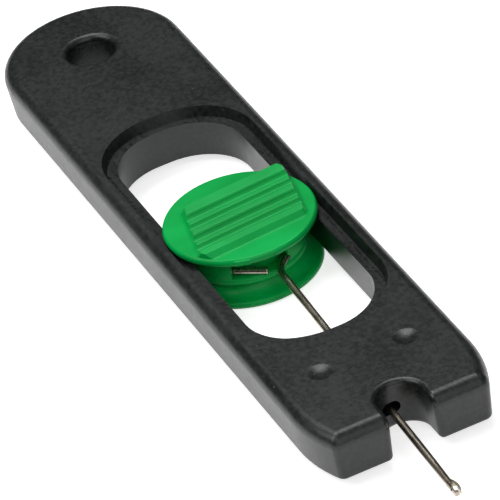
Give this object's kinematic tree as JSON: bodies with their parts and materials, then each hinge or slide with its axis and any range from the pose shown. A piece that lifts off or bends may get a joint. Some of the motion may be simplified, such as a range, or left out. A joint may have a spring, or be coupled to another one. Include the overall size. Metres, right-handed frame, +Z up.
{
  "type": "needle threader",
  "caption": "Flat slotted handle with a sliding thumb button that pushes a hooked spring wire out through a notch in the front end to pull thread through a needle's eye.",
  "frame": {"origin": "on the lanyard hole's axis, half way through the handle's thickness", "axes": "+X along the handle towards the hook, +Y across it, +Z up out of the face that the thumb rests on"},
  "size_m": [0.0902, 0.0178, 0.0068],
  "materials": {
    "handle_plastic": "satin black, finely textured",
    "slider_plastic": "smooth bright green",
    "wire_steel": "bright drawn spring wire"
  },
  "bodies": {
    "handle": {"handle": "handle_plastic"},
    "slider": {"thumb_slider": "slider_plastic", "slider_retainer": "slider_plastic", "hook_wire": "wire_steel"}
  },
  "joints": [
    {"name": "slider_travel", "type": "slide", "parent": "handle", "child": "slider", "axis": [1, 0, 0], "range_m": [-0.0127, 0.0132]}
  ]
}
